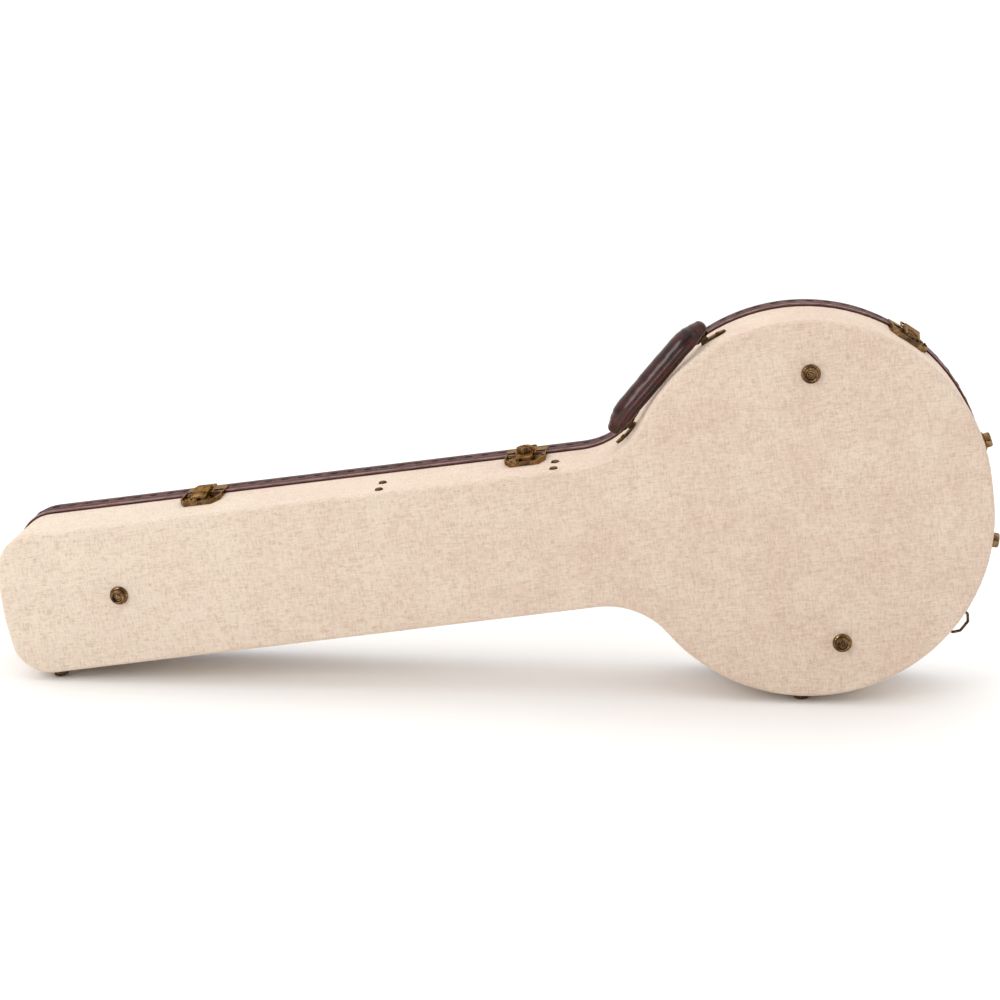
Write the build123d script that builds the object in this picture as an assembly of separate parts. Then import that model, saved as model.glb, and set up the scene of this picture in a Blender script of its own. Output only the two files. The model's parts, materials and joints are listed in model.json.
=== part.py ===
from build123d import *
import os
from functools import lru_cache
from math import asin, atan2, cos, degrees, hypot, radians, sin, sqrt

# Hard-shell banjo case, in millimetres.
# Case axes, used by every function below: X along the neck towards the round end, Y from the back face
# to the front of the lid, Z across the case towards the latch side. The origin is the middle of the round
# body, on the back face. The finished case is tilted so that it stands on its lower stud feet.

# Outline of the cloth-covered base
BODY_R = 194.0          # radius of the round body's two half circles
BODY_RISE = 10.7        # half of the short straight between them, so the body is a little taller than wide
NECK_END_X = -883.0     # furthest point of the neck's end
NECK_HALF_END = 79.5    # half width of the neck box at its end
NECK_HALF_BODY = 76.5   # half width of the neck box, carried on to the body's middle
CORNER_R = 42.0
END_BULGE_R = 300.0
FILLET_R = 85.0         # hollow corner between neck and body

# Shells, from outside in
SKIN = 1.0
PLY = 5.0
LINING = 1.6
ROLL_R = 5.0            # rolled edge of the cloth
SEAM_Y = 97.0
SEAM_GAP = 0.4
FRONT_Y = 139.0
BAND_PROUD = 3.0
BAND_FRONT_Y = 134.0
BEAD_PROUD = 1.8
BEAD_W = 2.6
TONGUE_OUT = 6.0        # how far the tongue strip stands past the seam
TONGUE_T = 1.5

# Padding inside the base
FLOOR_T = 8.0
PAD_T = 8.0
PAD_TOP_Y = 72.0
BOX_TOP_Y = 66.0
BOX_WALL_T = 5.0
BOX_X = (-450.5, -261.0)
BOX_LID_T = 4.0
BOX_BARREL_R = 2.8
BOX_PIN_R = 1.2

# Stud feet
STUD_H = 8.5
STUD_FLANGE_R = 10.2
STUD_R = 7.8
NAIL_R = 1.2
NAIL_SEAT = STUD_H - 2.2            # where the nail's head sits in the stud's crown
SINK = 0.5                          # how far a fitting starts below the cloth before it is trimmed to it
FOOT_ROWS = (24.0, 83.0)
NECK_FOOT_X = -838.0
BACK_FEET = ((-750.0, 0.0), (20.0, 147.0), (20.0, -147.0))
END_FOOT_ANGLES = (11.0, -14.5)
RIVET_R = 4.5
RIVET_ROWS = (14.0, 46.0)

# Hinges along the lower side
HINGE_DROP = 4.5        # axis below the lowest cloth
KNUCKLE_R = 2.8
HINGE_PIN_R = 1.2
RUNNING_GAP = 0.05
KNUCKLE_GAP = 0.3
HINGE_W = 40.0
LEAF_T = 1.5
LEAF_L = 15.0
WEB_T = 2.4
DISC_HINGE_ANGLE = 12.0
NECK_HINGE_X = -790.0

# Latches; their y is counted from the seam and their z from the wall
LATCH_NECK_X = (-658.0, -295.0)
LATCH_BODY_ANGLE = 49.0
LATCH_W = 45.0
PLATE_T = 1.4
PLATE_Y = (-51.0, -1.2)
TRAY_LIP_H = 5.0
CLIP = (7.0, 18.0)      # clipped far corners of the plate, across and along
LEVER_W = 18.0
LEVER_FAR = (-43.0, 7.4)            # free end of the lever's top
LEVER_NEAR_TOP = 12.0               # height of the lever over its pin
LEVER_SKIRT_Z = 4.4
LEVER_T = 1.2
LEVER_RIB_R = 0.7
LEVER_RIB_PITCH = 3.2
EAR_T = 1.4
PIVOT = (-9.0, 7.6)
PIVOT_R = 1.25
HOOK_PIVOT = (-15.0, 5.6)
HOOK_BAR = (10.0, 8.4)
HOOK_WIRE_R = 1.1
HOOK_GAP = 0.5
KEEPER_Y = (2.4, 20.0)
LOCK_Y = -17.5
LOCK_R = 4.2
LOCK_BOSS_R = 8.6
LOCK_BOSS_TOP = 15.0
PLATE_RIVETS = ((-17.0, -30.0), (17.0, -30.0), (-19.0, -7.0), (19.0, -7.0))

# Handle
BRACKET_LOW_ANGLE = 137.0            # outward direction of the wall, in the hollow corner
BRACKET_HIGH_ANGLE = 116.0           # on the round body
BRACKET_T = 2.4
BRACKET_HALF_W = 7.0
BRACKET_TAIL = 25.0
BRACKET_RIVET = 16.0
HANDLE_Y = 50.0
HANDLE_RISE = 6.0                   # axis above the wall
HANDLE_DROOP = 62.0
GRIP_HALF_W = 13.0                  # across, with the handle upright
GRIP_HALF_T = 10.5
GRIP_PATH = ((-75.0, 22.0), (-53.0, 34.0), (53.0, 34.0), (75.0, 22.0))
GRIP_BEND_R = 26.0
RING_WIRE_R = 1.75
RING_W = 16.0
RING_H = 26.0

# Strap ring on the round end
STRAP_ANGLE = -44.0
STRAP_Y = 48.0
STRAP_WIRE_R = 1.5
STRAP_RISE = 5.0


def normal(angle):
    """Unit vector in the XZ plane at an angle from +X."""
    return Vector(cos(radians(angle)), 0, sin(radians(angle)))


def on_wall(x, z, angle, y):
    """Place on the side wall: local x along the wall, y along the depth, z outwards."""
    out = normal(angle)
    along = Vector(out.Z, 0, -out.X)
    return Plane(origin=(x, y, z), x_dir=along, z_dir=out).location


def on_body(angle, y):
    """Place on the round body's wall at an angle from +X."""
    rise = BODY_RISE if angle > 0 else -BODY_RISE
    return on_wall(BODY_R * cos(radians(angle)), rise + BODY_R * sin(radians(angle)), angle, y)


def on_hollow(angle, y):
    """Place in the upper hollow corner between neck and body, where the wall faces an angle from +X."""
    z = NECK_HALF_BODY + 1.0 + FILLET_R
    x = -sqrt((BODY_R + FILLET_R) ** 2 - (z - BODY_RISE) ** 2)
    return on_wall(x - FILLET_R * cos(radians(angle)), z - FILLET_R * sin(radians(angle)), angle, y)


def neck_half(x):
    """Half width of the neck box at x."""
    return NECK_HALF_BODY + (NECK_HALF_END - NECK_HALF_BODY) * x / NECK_END_X


@lru_cache(maxsize=None)
def outline(grow=0.0):
    """The case's outline, grown or shrunk all round."""
    sag = END_BULGE_R - sqrt(END_BULGE_R**2 - NECK_HALF_END**2)
    end_x = NECK_END_X + sag
    edge = (
        Line((0, -NECK_HALF_BODY), (end_x, -NECK_HALF_END))
        + ThreePointArc((end_x, -NECK_HALF_END), (NECK_END_X, 0), (end_x, NECK_HALF_END))
        + Line((end_x, NECK_HALF_END), (0, NECK_HALF_BODY))
        + Line((0, NECK_HALF_BODY), (0, -NECK_HALF_BODY))
    )
    neck = make_face(edge)
    neck = fillet(neck.vertices().filter_by_position(Axis.X, end_x - 1, end_x + 1), CORNER_R)
    body = SlotCenterToCenter(2 * BODY_RISE, 2 * BODY_R, rotation=90)
    both = neck + body
    joints = both.vertices().filter_by_position(Axis.X, -BODY_R + 1, -BODY_R / 2)
    both = fillet(joints, FILLET_R)
    return offset(both, amount=grow) if grow else both


def slab(face, y0, y1):
    """Prism of an outline drawn in (x, z), between two depths."""
    return Pos(0, y1, 0) * Rot(90, 0, 0) * extrude(face, amount=y1 - y0)


def rim(outer, inner, y0, y1):
    """Ring between two outlines, between two depths."""
    return slab(outline(outer), y0, y1) - slab(outline(inner), y0 - 1, y1 + 1)


def rolled(face, y0, y1, radius, at_front):
    """Slab whose edge is rounded on one side."""
    block = slab(face, y0, y1)
    side = block.faces().sort_by(Axis.Y)[-1 if at_front else 0]
    return fillet(side.edges(), radius)


def box(x, y, z):
    """Block between pairs of coordinates."""
    size = (x[1] - x[0], y[1] - y[0], z[1] - z[0])
    return Pos(x[0], y[0], z[0]) * Box(*size, align=(Align.MIN, Align.MIN, Align.MIN))


def rod(radius, x0, x1, y=0.0, z=0.0):
    """Cylinder along X."""
    turn = Pos(x0, y, z) * Rot(0, 90, 0)
    return turn * Cylinder(radius, x1 - x0, align=(Align.CENTER, Align.CENTER, Align.MIN))


def post(radius, z0, z1):
    """Cylinder along Z."""
    return Pos(0, 0, z0) * Cylinder(radius, z1 - z0, align=(Align.CENTER, Align.CENTER, Align.MIN))


def domed(shape, radius):
    """Shape with the edge of its top rounded."""
    return fillet(shape.faces().sort_by(Axis.Z)[-1].edges(), radius)


def group(shapes):
    """Separate solids kept in one node."""
    return Compound(children=[solid for shape in shapes for solid in shape.solids()])


def wire_loop(corners, radius, bend):
    """Closed loop of round wire through corners in the local XZ plane."""
    points = [(x, 0, z) for x, z in corners]
    path = FilletPolyline(*points, radius=bend, close=True)
    start = path.edges().filter_by(GeomType.LINE).sort_by(SortBy.LENGTH)[-1]
    ring = Wire(path.edges())
    section = Plane(origin=start @ 0.5, z_dir=start % 0.5) * Circle(radius)
    return sweep(section, path=ring)


# ---------------------------------------------------------------- base half
def base_covering():
    """Cloth over the back and the side wall."""
    outer = rolled(outline(), 0, SEAM_Y - SEAM_GAP, ROLL_R, False)
    inner = rolled(outline(-SKIN), SKIN, SEAM_Y + 1, ROLL_R - SKIN, False)
    return outer - inner


def base_back_panel():
    """Plywood back."""
    return rolled(outline(-SKIN), SKIN, SKIN + PLY, ROLL_R - SKIN, False)


def base_side_wall():
    """Bent plywood rim of the base."""
    return rim(-SKIN, -SKIN - PLY, SKIN + PLY, SEAM_Y - SEAM_GAP)


def bead_notches():
    """Gaps in the base's bead for the latch plates and the hinge leaves."""
    half = LATCH_W / 2 + 0.3
    notches = [place * box((-half, half), (-6, 0), (-4, 12)) for place in latch_places()]
    half = HINGE_W / 2 + 0.3
    low = hinge_height() - 6
    for x in hinge_xs():
        notches.append(level(box((x - half, x + half), (SEAM_Y - 6, SEAM_Y), (low, low + 30))))
    return notches


def base_rim_bead():
    """Dark bead round the base's open edge."""
    top = SEAM_Y - SEAM_GAP
    bead = rim(BEAD_PROUD, 0, top - BEAD_W, top)
    for notch in bead_notches():
        bead -= notch
    return group([bead])


def base_wall_lining():
    """Plush on the inside of the rim."""
    return rim(-SKIN - PLY, -SKIN - PLY - LINING, SKIN + PLY, SEAM_Y - 4)


def tongue_strip():
    """Strip inside the rim that stands past the seam and locates the lid."""
    outer = -SKIN - PLY - LINING - 0.4
    return rim(outer, outer - TONGUE_T, SEAM_Y - 12, SEAM_Y + TONGUE_OUT)


def base_floor_pad():
    """Plush-covered foam on the back panel."""
    return slab(outline(-SKIN - PLY - LINING - 0.3), SKIN + PLY, SKIN + PLY + FLOOR_T)


def body_rim_pad():
    """Foam round the well for the body, open towards the neck."""
    floor = SKIN + PLY + FLOOR_T
    outer = -SKIN - PLY - LINING - 0.3
    ring = rim(outer, outer - PAD_T, floor, PAD_TOP_Y)
    return ring & box((-118, 300), (0, FRONT_Y), (-300, 300))


def cradle(x0, x1, notch_r, notch_y):
    """Foam block across the neck box with a round notch for the neck."""
    floor = SKIN + PLY + FLOOR_T
    half = neck_half((x0 + x1) / 2) - SKIN - PLY - LINING - 1.2
    block = box((x0, x1), (floor, PAD_TOP_Y), (-half, half))
    return block - rod(notch_r, x0 - 1, x1 + 1, notch_y, 0)


def compartment_wall(x):
    """Partition of the accessory box, drilled for the lid's pin."""
    floor = SKIN + PLY + FLOOR_T
    half = neck_half(x) - SKIN - PLY - LINING - 0.6
    half_t = BOX_WALL_T / 2
    wall = box((x - half_t, x + half_t), (floor, BOX_TOP_Y + BOX_BARREL_R + 2), (-half, half))
    wall -= box((x - 9, x + 9), (BOX_TOP_Y - 0.5, PAD_TOP_Y + 9), (-half - 1, box_hinge_z() - 8))
    return wall - rod(BOX_PIN_R, x - 9, x + 9, BOX_TOP_Y, box_hinge_z())


def box_hinge_z():
    """Height of the accessory box lid's hinge across the neck box."""
    return neck_half(BOX_X[1]) - SKIN - PLY - LINING - 8.0


def compartment_lid():
    """Lid panel of the accessory box with its hinge barrel."""
    x0 = BOX_X[0] + BOX_WALL_T / 2 + 0.6
    x1 = BOX_X[1] - BOX_WALL_T / 2 - 0.6
    top = BOX_TOP_Y + BOX_LID_T / 2
    low = -box_hinge_z() - 3
    panel = box((x0, x1), (BOX_TOP_Y - BOX_LID_T / 2, top), (low, box_hinge_z()))
    panel += rod(BOX_BARREL_R, x0, x1, BOX_TOP_Y, box_hinge_z())
    return panel - rod(BOX_PIN_R + RUNNING_GAP, x0 - 1, x1 + 1, BOX_TOP_Y, box_hinge_z())


def compartment_hinge_pin():
    """Pin from partition to partition."""
    x0 = BOX_X[0] - BOX_WALL_T / 2
    x1 = BOX_X[1] + BOX_WALL_T / 2
    return rod(BOX_PIN_R, x0, x1, BOX_TOP_Y, box_hinge_z())


def pull_tab():
    """Ribbon tab on the accessory box lid."""
    top = BOX_TOP_Y + BOX_LID_T / 2
    low = -box_hinge_z() - 3
    middle = (BOX_X[0] + BOX_X[1]) / 2
    return box((middle - 9, middle + 9), (top, top + 1.2), (low + 4, low + 34))


# ---------------------------------------------------------------- feet and rivets
def stud():
    """Round stud foot: flange, cup and a hollow crown round the nail."""
    profile = Polyline(
        (NAIL_R, -SINK),
        (STUD_FLANGE_R, -SINK),
        (STUD_FLANGE_R, 0.9),
        (STUD_R + 0.8, 2.0),
        (STUD_R, 2.4),
        (STUD_R, STUD_H - 1.4),
        (STUD_R - 1.0, STUD_H),
        (5.4, STUD_H),
        (4.6, NAIL_SEAT),
        (NAIL_R, NAIL_SEAT),
        close=True,
    )
    return revolve(Plane.XZ * make_face(profile), Axis.Z)


def stud_nail():
    """Domed nail in the middle of a stud."""
    shank = post(NAIL_R, -SINK, NAIL_SEAT)
    return domed(post(3.4, NAIL_SEAT, NAIL_SEAT + 1.8), 1.6) + shank


def rivet():
    """Low domed rivet head."""
    return domed(post(RIVET_R, -SINK, 2.2), 1.9)


def back_places():
    """Places of the feet on the back panel."""
    return [Pos(x, 0, z) * Rot(90, 0, 0) for x, z in BACK_FEET]


def bottom_places():
    """Places of the feet along the lower side: one station on the neck, one on the body."""
    places = [on_wall(NECK_FOOT_X, -neck_half(NECK_FOOT_X), -90, y) for y in FOOT_ROWS]
    return places + [on_body(-90 - TILT, y) for y in FOOT_ROWS]


def end_places():
    """Places of the feet on the round end: one above, a pair below."""
    high, low = END_FOOT_ANGLES
    return [on_body(high, FOOT_ROWS[0])] + [on_body(low, y) for y in FOOT_ROWS]


def rivet_places():
    """Places of the partition rivets, in the upper and the lower wall."""
    places = [on_wall(x, neck_half(x), 90, y) for x in BOX_X for y in RIVET_ROWS]
    return places + [on_wall(x, -neck_half(x), -90, y) for x in BOX_X for y in RIVET_ROWS]


def fitted(shape, places):
    """Copies of a fitting seated on the cloth."""
    cloth = slab(outline(), 0, SEAM_Y)
    return group([(place * shape) - cloth for place in places])


def tilt_angle():
    """Tilt that brings the neck foot's rim and the body foot's face level."""
    reach = NECK_FOOT_X - STUD_R
    drop = neck_half(NECK_FOOT_X) + STUD_H - BODY_RISE
    return degrees(asin((BODY_R + STUD_H) / hypot(reach, drop)) - atan2(drop, -reach))


TILT = tilt_angle()


def upright(shape):
    """Turn from case axes to the standing position."""
    return Rot(0, -TILT, 0) * shape


def level(shape):
    """Turn from the standing position to case axes."""
    return Rot(0, TILT, 0) * shape


# ---------------------------------------------------------------- lid half
def lid_side_wall():
    """Bent plywood rim of the lid."""
    return rim(-SKIN, -SKIN - PLY, SEAM_Y + SEAM_GAP, FRONT_Y - SKIN - PLY)


def lid_front_panel():
    """Plywood front."""
    return rolled(outline(-SKIN), FRONT_Y - SKIN - PLY, FRONT_Y - SKIN, ROLL_R - SKIN, True)


def lid_covering():
    """Cloth over the front, rolled down to the band."""
    outer = rolled(outline(), BAND_FRONT_Y, FRONT_Y, ROLL_R - 0.5, True)
    inner = rolled(outline(-SKIN), BAND_FRONT_Y - 1, FRONT_Y - SKIN, ROLL_R - SKIN, True)
    return outer - inner


def lid_band():
    """Padded leatherette band round the lid's side."""
    outer = slab(outline(BAND_PROUD), SEAM_Y + SEAM_GAP, BAND_FRONT_Y - 1.6)
    ends = [outer.faces().sort_by(Axis.Y)[0], outer.faces().sort_by(Axis.Y)[-1]]
    outer = fillet([edge for face in ends for edge in face.edges()], BAND_PROUD - 0.4)
    return outer - slab(outline(-SKIN), SEAM_Y - 1, FRONT_Y)


def lid_welt():
    """Piping between the band and the front."""
    return rim(1.8, -SKIN, BAND_FRONT_Y - 1.6, BAND_FRONT_Y)


def lid_lining():
    """Plush inside the lid."""
    lined = rim(-SKIN - PLY, -SKIN - PLY - LINING / 2, SEAM_Y + 1, FRONT_Y - SKIN - PLY - LINING)
    floor = FRONT_Y - SKIN - PLY
    return lined + slab(outline(-SKIN - PLY), floor - LINING, floor)


# ---------------------------------------------------------------- hinges
def hinge_height():
    """Height of the lid's axis in the standing position, from the body's middle."""
    return -BODY_RISE * cos(radians(TILT)) - BODY_R - HINGE_DROP


def hinge_xs():
    """Middles of the three hinges along the axis, in the standing position."""
    lowest = -BODY_RISE * sin(radians(TILT))
    swing = BODY_R * sin(radians(DISC_HINGE_ANGLE))
    neck = NECK_HINGE_X * cos(radians(TILT)) + neck_half(NECK_HINGE_X) * sin(radians(TILT))
    return (neck, lowest - swing, lowest + swing)


def hinge_leaf(x, side):
    """One leaf in the standing position: knuckles, web and plate on the wall. side is -1 base, +1 lid."""
    z = hinge_height()
    third = HINGE_W / 3
    half = HINGE_W / 2
    if side < 0:
        spans = ((x - half, x - half + third), (x + half - third, x + half))
        others = ((x - third / 2, x + third / 2),)
        surface = 0.0
    else:
        spans = ((x - third / 2 + KNUCKLE_GAP, x + third / 2 - KNUCKLE_GAP),)
        others = ((x - half - 1, x - third / 2), (x + third / 2, x + half + 1))
        surface = BAND_PROUD
    near = SEAM_Y + side * 0.5
    web_y = sorted((near, near + side * WEB_T))
    leaf_y = sorted((near, near + side * LEAF_L))
    strip = upright(rim(surface + LEAF_T, surface, *leaf_y))
    leaf = strip & box((x - half, x + half), leaf_y, (z - 5, z + 40))
    for x0, x1 in spans:
        web = box((x0, x1), web_y, (z, z + 25)) - upright(slab(outline(surface), 0, FRONT_Y))
        leaf += web.solids().sort_by(Axis.Z)[0]
        leaf += rod(KNUCKLE_R, x0, x1, SEAM_Y, z)
    for x0, x1 in others:
        leaf -= rod(KNUCKLE_R + KNUCKLE_GAP, x0, x1, SEAM_Y, z)
    gap = RUNNING_GAP if side > 0 else 0.0
    return leaf - rod(HINGE_PIN_R + gap, x - half - 1, x + half + 1, SEAM_Y, z)


def hinge_leaves(side):
    """The three leaves of one half, in case axes."""
    return group([level(hinge_leaf(x, side)) for x in hinge_xs()])


def hinge_pins():
    """The three hinge pins, in case axes."""
    half = HINGE_W / 2
    pins = [rod(HINGE_PIN_R, x - half, x + half, SEAM_Y, hinge_height()) for x in hinge_xs()]
    return group([level(pin) for pin in pins])


# ---------------------------------------------------------------- latches
def latch_places():
    """Places of the latches on the wall, at the seam."""
    neck = [on_wall(x, neck_half(x), 90, SEAM_Y) for x in LATCH_NECK_X]
    return neck + [on_body(LATCH_BODY_ANGLE, SEAM_Y)]


def clipped_plate(inset, z0, z1):
    """Latch plate outline with its two far corners clipped."""
    half = LATCH_W / 2 - inset
    far = PLATE_Y[0] + inset
    near = PLATE_Y[1] + (1 if inset else 0)
    corners = ((-half, near), (-half, far + CLIP[1]), (-half + CLIP[0], far))
    mirrored = tuple((-x, y) for x, y in reversed(corners))
    face = make_face(Polyline(*corners, *mirrored, close=True))
    return Pos(0, 0, z0) * extrude(face, amount=z1 - z0)


def latch_plate(place):
    """Base plate with a turned-up lip and the two ears that hold the lever's pin."""
    tray = clipped_plate(0, -3, TRAY_LIP_H) - clipped_plate(PLATE_T, PLATE_T, TRAY_LIP_H + 1)
    y, z = PIVOT
    outer = LEVER_W / 2 - LEVER_T - HOOK_GAP
    for x in (-outer, outer - EAR_T):
        tray += box((x, x + EAR_T), (y - 2.4, y + 2.4), (0.2, z)) + rod(2.4, x, x + EAR_T, y, z)
    tray -= rod(PIVOT_R, -LEVER_W, LEVER_W, y, z)
    return (place * tray) - slab(outline(), 0, SEAM_Y)


def lever_block(drop, width):
    """Wedge of the lever's side view, its top lowered by a wall thickness for the inside."""
    y, z = PIVOT
    y0, z0 = LEVER_FAR
    far = ((y0 - drop, LEVER_SKIRT_Z - drop), (y0 - drop, z0 - drop))
    corners = (*far, (y, LEVER_NEAR_TOP - drop), (y, z - 4))
    face = make_face(Plane.YZ * Polyline(*corners, close=True))
    return Pos(-width / 2, 0, 0) * extrude(face, amount=width, dir=(1, 0, 0))


def latch_lever(place, keyed):
    """Channel-shaped lever; the keyed one has a raised boss for the lock."""
    half = LEVER_W / 2
    inside = half - LEVER_T
    y, z = PIVOT
    lever = lever_block(0, LEVER_W) + rod(LEVER_NEAR_TOP - z, -half, half, y, z)
    lever -= lever_block(LEVER_T, 2 * inside)
    lever -= box((-inside, inside), (y - 4, y + 1.8), (0, LEVER_NEAR_TOP - LEVER_T))
    lever -= box((-inside, inside), (y + 1.8, 0), (0, LEVER_NEAR_TOP + 1))
    if keyed:
        boss = domed(post(LOCK_BOSS_R, LOCK_BOSS_TOP - 5.6, LOCK_BOSS_TOP), 2.4)
        boss -= post(LOCK_BOSS_R - LEVER_T, -1, LOCK_BOSS_TOP - 3)
        lever += Pos(0, LOCK_Y, 0) * boss
        lever -= Pos(0, LOCK_Y, 0) * post(LOCK_R + RUNNING_GAP, -30, 30)
    else:
        y0, z0 = LEVER_FAR
        rise = (LEVER_NEAR_TOP - z0) / (y - y0)
        for number in range(1, 6):
            reach = LEVER_RIB_PITCH * number
            lever += rod(LEVER_RIB_R, 3 - half, half - 3, y0 + reach, z0 + reach * rise)
    for radius, spot in ((PIVOT_R, PIVOT), (HOOK_WIRE_R, HOOK_PIVOT)):
        lever -= rod(radius + RUNNING_GAP, -LEVER_W, LEVER_W, *spot)
    return place * lever


def latch_hook(place):
    """Wire hook: two arms outside the lever, a bar over the keeper and two ends turned into the lever."""
    arm_x = LEVER_W / 2 + HOOK_GAP + HOOK_WIRE_R
    end_x = LEVER_W / 2 - LEVER_T - HOOK_GAP / 2
    arms = [(arm_x, *HOOK_PIVOT), (arm_x, *HOOK_BAR), (-arm_x, *HOOK_BAR), (-arm_x, *HOOK_PIVOT)]
    path = FilletPolyline((end_x, *HOOK_PIVOT), *arms, (-end_x, *HOOK_PIVOT), radius=1.5)
    section = Plane(origin=(end_x, *HOOK_PIVOT), z_dir=(1, 0, 0)) * Circle(HOOK_WIRE_R)
    return place * sweep(section, path=path)


def latch_keeper(place):
    """Keeper on the lid's band with the lip that the hook's bar drops behind."""
    half = LATCH_W / 2
    band = slab(outline(BAND_PROUD), SEAM_Y - 30, FRONT_Y)
    skin = slab(outline(BAND_PROUD + PLATE_T), SEAM_Y - 30, FRONT_Y) - band
    plate = skin & (place * box((-half, half), KEEPER_Y, (-5, 8)))
    lip_y = HOOK_BAR[0] - HOOK_WIRE_R - HOOK_GAP
    lip_top = HOOK_BAR[1] - HOOK_WIRE_R - HOOK_GAP
    lip = box((-8, 8), (lip_y - 1.6, lip_y), (BAND_PROUD - 1, lip_top))
    return plate + ((place * lip) - band)


def latch_pin(place):
    """Lever pin, riveted in the plate's ears."""
    return place * rod(PIVOT_R, -LEVER_W / 2, LEVER_W / 2, *PIVOT)


def latch_rivets():
    """Rivets that hold the latch plates."""
    heads = []
    for place in latch_places():
        plate = latch_plate(place)
        heads += [(place * Pos(x, y, 0) * small_rivet(PLATE_T)) - plate for x, y in PLATE_RIVETS]
    return group(heads)


def lock_cylinder(place):
    """Turning barrel of the key lock with its key slot."""
    top = LOCK_BOSS_TOP + 0.6
    barrel = post(LOCK_R, top - 4.4, top) - box((-0.7, 0.7), (-2.6, 2.6), (top - 2.4, top + 1))
    return place * Pos(0, LOCK_Y, 0) * barrel


# ---------------------------------------------------------------- handle
def bracket_places():
    """Places of the two handle brackets on the wall."""
    return on_hollow(BRACKET_LOW_ANGLE, HANDLE_Y), on_body(BRACKET_HIGH_ANGLE, HANDLE_Y)


def handle_axis():
    """Ends of the handle's swing axis, above the two brackets."""
    return [(place * Pos(0, 0, HANDLE_RISE)).position for place in bracket_places()]


def handle_frame():
    """Handle frame: local x along the swing axis, z straight out from the wall."""
    low, high = handle_axis()
    along = (high - low).normalized()
    return Plane(origin=(low + high) * 0.5, x_dir=along, z_dir=along.cross(Vector(0, 1, 0))).location


def handle_half_span():
    """Half the distance between the brackets."""
    low, high = handle_axis()
    return (high - low).length / 2


def drooped(shape):
    """Handle as it hangs over towards the back."""
    return handle_frame() * Rot(HANDLE_DROOP, 0, 0) * shape


def handle_ring(side):
    """Wire ring at one end of the grip, its lower bar on the swing axis."""
    middle = side * handle_half_span()
    half = RING_W / 2
    corners = ((middle - half, 0), (middle + half, 0), (middle + half, RING_H), (middle - half, RING_H))
    return wire_loop(corners, RING_WIRE_R, 3.2)


def handle_grip():
    """Padded grip, in the drooped position."""
    path = FilletPolyline(*[(x, 0, z) for x, z in GRIP_PATH], radius=GRIP_BEND_R)
    start = Vector(GRIP_PATH[1][0] - GRIP_PATH[0][0], 0, GRIP_PATH[1][1] - GRIP_PATH[0][1])
    end = Plane(origin=(GRIP_PATH[0][0], 0, GRIP_PATH[0][1]), x_dir=(0, 1, 0), z_dir=start)
    grip = sweep(end * Ellipse(GRIP_HALF_W, GRIP_HALF_T), path=path)
    grip = fillet(grip.faces().filter_by(GeomType.PLANE).edges(), 4.0)
    for side in (-1, 1):
        grip -= handle_ring(side)
    return drooped(grip)


def handle_rings():
    """Both rings, in the drooped position."""
    return group([drooped(handle_ring(side)) for side in (-1, 1)])


def handle_bracket(side, place):
    """Bracket plate on the wall with the tunnel that holds the ring's bar."""
    strip = rim(BRACKET_T, 0, HANDLE_Y - 20, HANDLE_Y + 20)
    tip = side * (BRACKET_TAIL - BRACKET_HALF_W)
    bar = box(sorted((-4 * side, tip)), (-BRACKET_HALF_W, BRACKET_HALF_W), (-12, 12))
    bar += Pos(tip, 0, 0) * post(BRACKET_HALF_W, -12, 12)
    plate = strip & (place * bar)
    middle = side * handle_half_span()
    frame = handle_frame()
    tunnel = rod(RING_WIRE_R + 1.4, middle - 4, middle + 4)
    tunnel += box((middle - 4, middle + 4), (-RING_WIRE_R - 1.4, RING_WIRE_R + 1.4), (-12, 0))
    tunnel = (frame * tunnel) - slab(outline(), 0, SEAM_Y)
    tunnel = tunnel.solids().sort_by(SortBy.VOLUME)[-1]
    return (plate + tunnel) - frame * rod(RING_WIRE_R + RUNNING_GAP, middle - 9, middle + 9)


def handle_brackets():
    """Both handle brackets."""
    low, high = bracket_places()
    return group([handle_bracket(-1, low), handle_bracket(1, high)])


def small_rivet(plate_t):
    """Small domed rivet head, seated on a plate."""
    return domed(post(2.6, plate_t - SINK, plate_t + 1.3), 1.2)


def handle_rivets():
    """Rivets through the tail of each bracket."""
    low = on_hollow(BRACKET_LOW_ANGLE - degrees(BRACKET_RIVET / FILLET_R), HANDLE_Y)
    high = on_body(BRACKET_HIGH_ANGLE - degrees(BRACKET_RIVET / BODY_R), HANDLE_Y)
    plated = slab(outline(BRACKET_T), 0, SEAM_Y)
    return group([(place * small_rivet(BRACKET_T)) - plated for place in (low, high)])


# ---------------------------------------------------------------- strap ring
def strap_place():
    """Place of the strap ring's bracket."""
    return on_body(STRAP_ANGLE, STRAP_Y)


def strap_ring_bracket():
    """Small plate with the tunnel that holds the strap ring."""
    strip = rim(PLATE_T, 0, STRAP_Y - 12, STRAP_Y + 12)
    place = strap_place()
    plate = strip & (place * box((-15, 15), (-9, 9), (-6, 6)))
    tunnel = rod(STRAP_WIRE_R + 1.3, -6, 6, 0, STRAP_RISE)
    tunnel += box((-6, 6), (-STRAP_WIRE_R - 1.3, STRAP_WIRE_R + 1.3), (0, STRAP_RISE))
    tunnel -= rod(STRAP_WIRE_R + RUNNING_GAP, -15, 15, 0, STRAP_RISE)
    return plate + (place * tunnel) - slab(outline(), 0, SEAM_Y)


def strap_ring():
    """D-shaped wire ring."""
    corners = ((-13, 0), (13, 0), (13, 8.5), (6.5, 14), (-6.5, 14), (-13, 8.5))
    return strap_place() * Pos(0, 0, STRAP_RISE) * wire_loop(corners, STRAP_WIRE_R, 2.6)


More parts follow.
